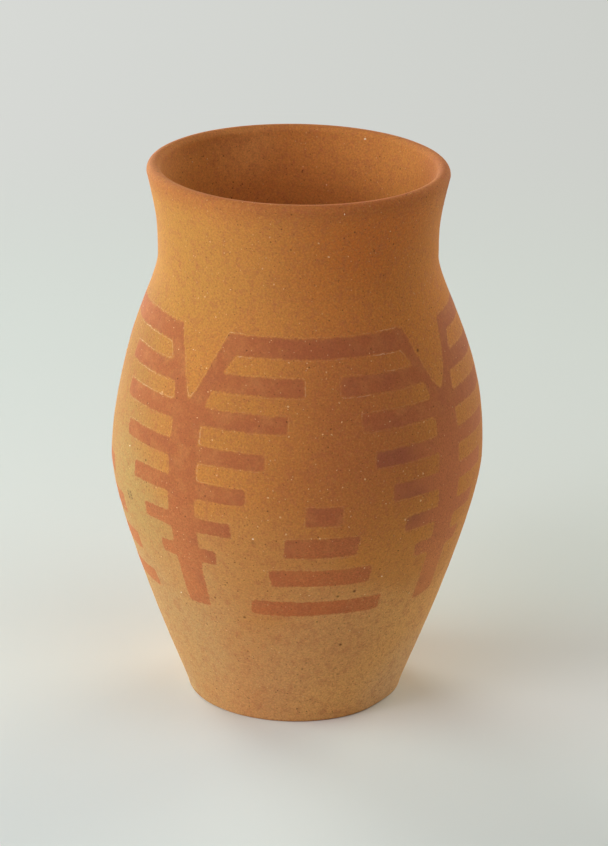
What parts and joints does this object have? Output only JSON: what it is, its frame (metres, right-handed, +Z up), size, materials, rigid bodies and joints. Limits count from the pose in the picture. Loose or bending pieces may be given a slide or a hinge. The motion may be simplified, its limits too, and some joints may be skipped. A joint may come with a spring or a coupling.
{
  "type": "clay vessel",
  "caption": "Tall open clay jar with a conical lower wall, round belly, drawn-in neck and slightly flared mouth, painted with a band of branched and stepped red slip.",
  "frame": {"origin": "middle of the flat foot, on the surface that the jar stands on", "axes": "+Z up through the middle of the mouth, -Y towards the viewer with the front panel of the painted band turned 8 degrees towards +X, +X to the viewer's right"},
  "size_m": [0.1352, 0.1352, 0.2],
  "materials": {
    "fired_clay": "matt, unglazed, smoothed by hand, with fine mineral grains",
    "red_slip": "matt, thin painted coat"
  },
  "bodies": {
    "root": {"clay_body": "fired_clay", "slip_frieze": "red_slip", "slip_step_1_1": "red_slip", "slip_step_1_2": "red_slip", "slip_step_1_3": "red_slip", "slip_step_1_4": "red_slip", "slip_step_2_1": "red_slip", "slip_step_2_2": "red_slip", "slip_step_2_3": "red_slip", "slip_step_2_4": "red_slip", "slip_step_3_1": "red_slip", "slip_step_3_2": "red_slip", "slip_step_3_3": "red_slip", "slip_step_3_4": "red_slip", "slip_step_4_1": "red_slip", "slip_step_4_2": "red_slip", "slip_step_4_3": "red_slip", "slip_step_4_4": "red_slip"}
  },
  "joints": []
}
